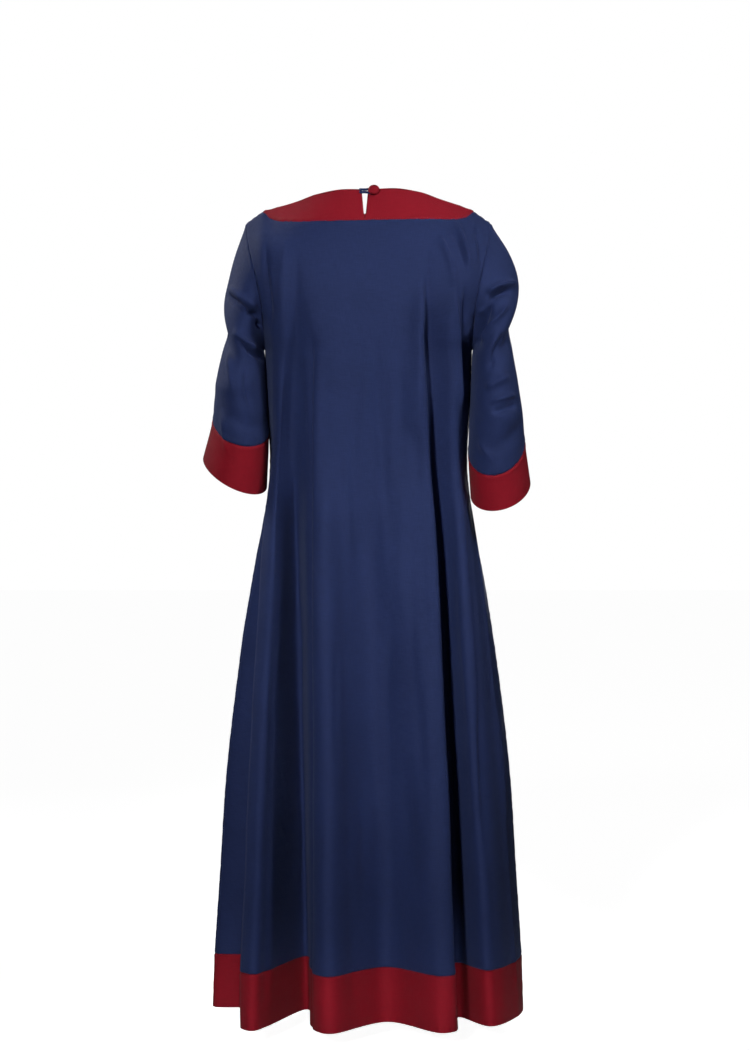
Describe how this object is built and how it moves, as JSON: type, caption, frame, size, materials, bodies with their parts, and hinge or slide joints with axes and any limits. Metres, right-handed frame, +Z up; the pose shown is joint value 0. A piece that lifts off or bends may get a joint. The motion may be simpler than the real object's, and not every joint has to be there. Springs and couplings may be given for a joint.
{
  "type": "medieval gown",
  "caption": "Floor-length hollow gown in worn pose: flared navy body, wide elbow-length sleeves, deep red boat-neck band, cuffs and hem band, buttoned keyhole slit behind.",
  "frame": {"origin": "midway between the wearer's shoulders, where the gown is held up, 33 mm below the back of the neck edge", "axes": "+Z up along the body, +Y towards the back of the gown, +X towards the wearer's left"},
  "size_m": [0.5535, 0.4824, 1.381],
  "materials": {
    "navy_cotton": "plain woven cotton, matt, with a slight sheen on the folds",
    "red_cotton": "plain woven cotton, matt, deep red"
  },
  "bodies": {
    "root": {"back_panel": "navy_cotton", "front_panel": "navy_cotton", "sleeve_left": "navy_cotton", "sleeve_right": "navy_cotton", "button_loop": "navy_cotton", "neck_band_back": "red_cotton", "neck_band_front": "red_cotton", "cuff_left": "red_cotton", "cuff_right": "red_cotton", "hem_band_back": "red_cotton", "hem_band_front": "red_cotton", "button": "red_cotton"}
  },
  "joints": []
}
